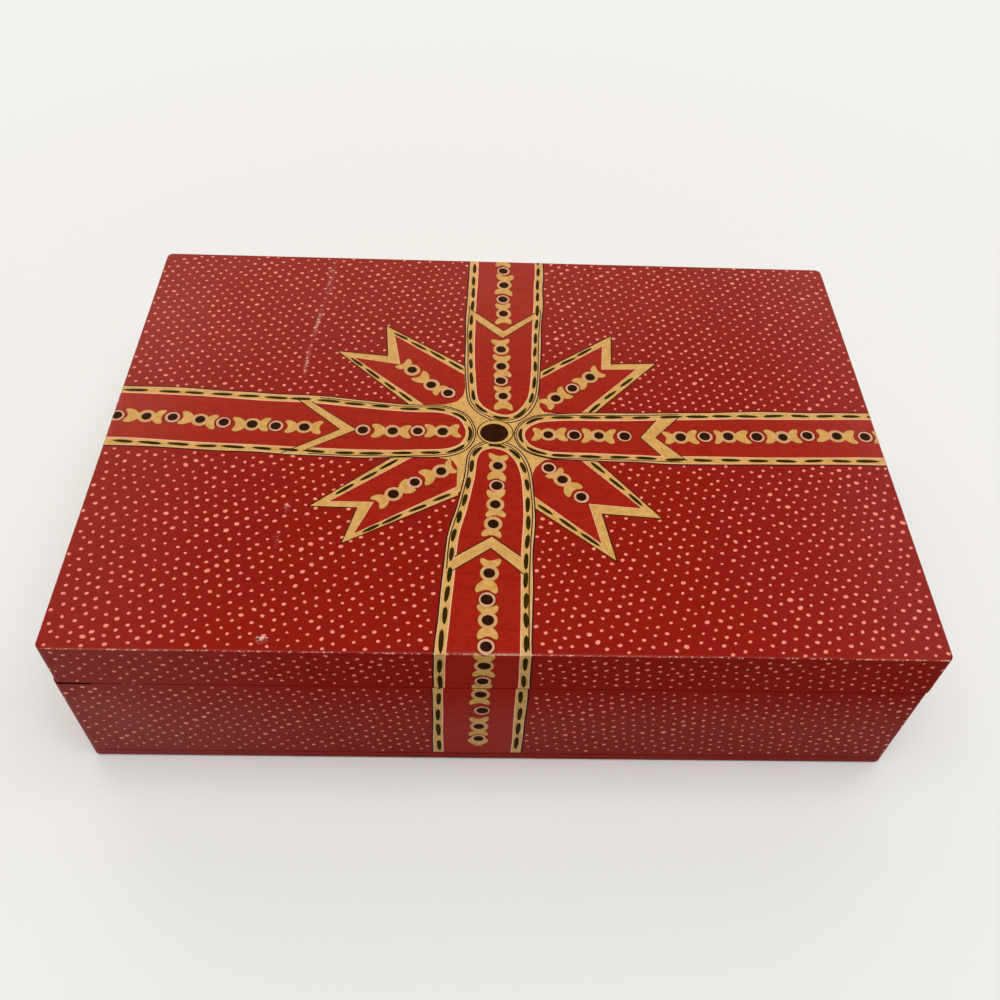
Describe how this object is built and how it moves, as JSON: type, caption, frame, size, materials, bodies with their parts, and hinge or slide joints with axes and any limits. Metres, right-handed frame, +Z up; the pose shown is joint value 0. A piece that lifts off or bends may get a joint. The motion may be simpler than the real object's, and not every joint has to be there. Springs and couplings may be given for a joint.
{
  "type": "wooden storage box",
  "caption": "Rectangular red lacquered wooden box with a shallow lid hinged at the back and painted gold ribbon bands crossing on the lid.",
  "frame": {"origin": "middle of the underside of the base, on the surface that the box stands on", "axes": "+X to the right along the front, the long side; +Y away from the front, to the hinges at the back; +Z up"},
  "size_m": [0.2545, 0.1778, 0.0635],
  "materials": {
    "lacquered_wood": "hand painted red lacquer, glossy",
    "hinge_brass": "aged brass",
    "screw_brass": "aged brass",
    "pin_steel": "drawn steel",
    "nail_steel": "dull steel"
  },
  "bodies": {
    "base": {"bottom_board": "lacquered_wood", "bottom_nails": "nail_steel", "base_front_wall": "lacquered_wood", "base_back_wall": "lacquered_wood", "base_left_wall": "lacquered_wood", "base_right_wall": "lacquered_wood", "left_hinge_base_leaf": "hinge_brass", "left_hinge_pin": "pin_steel", "left_hinge_base_screws": "screw_brass", "right_hinge_base_leaf": "hinge_brass", "right_hinge_pin": "pin_steel", "right_hinge_base_screws": "screw_brass"},
    "lid": {"lid_panel": "lacquered_wood", "lid_front_wall": "lacquered_wood", "lid_back_wall": "lacquered_wood", "lid_left_wall": "lacquered_wood", "lid_right_wall": "lacquered_wood", "left_hinge_lid_leaf": "hinge_brass", "left_hinge_lid_screws": "screw_brass", "right_hinge_lid_leaf": "hinge_brass", "right_hinge_lid_screws": "screw_brass"}
  },
  "joints": [
    {"name": "lid_hinge", "type": "hinge", "parent": "base", "child": "lid", "pos_m": [0, 0.0872, 0.0452], "axis": [-1, 0, 0], "range_deg": [0, 100]}
  ]
}
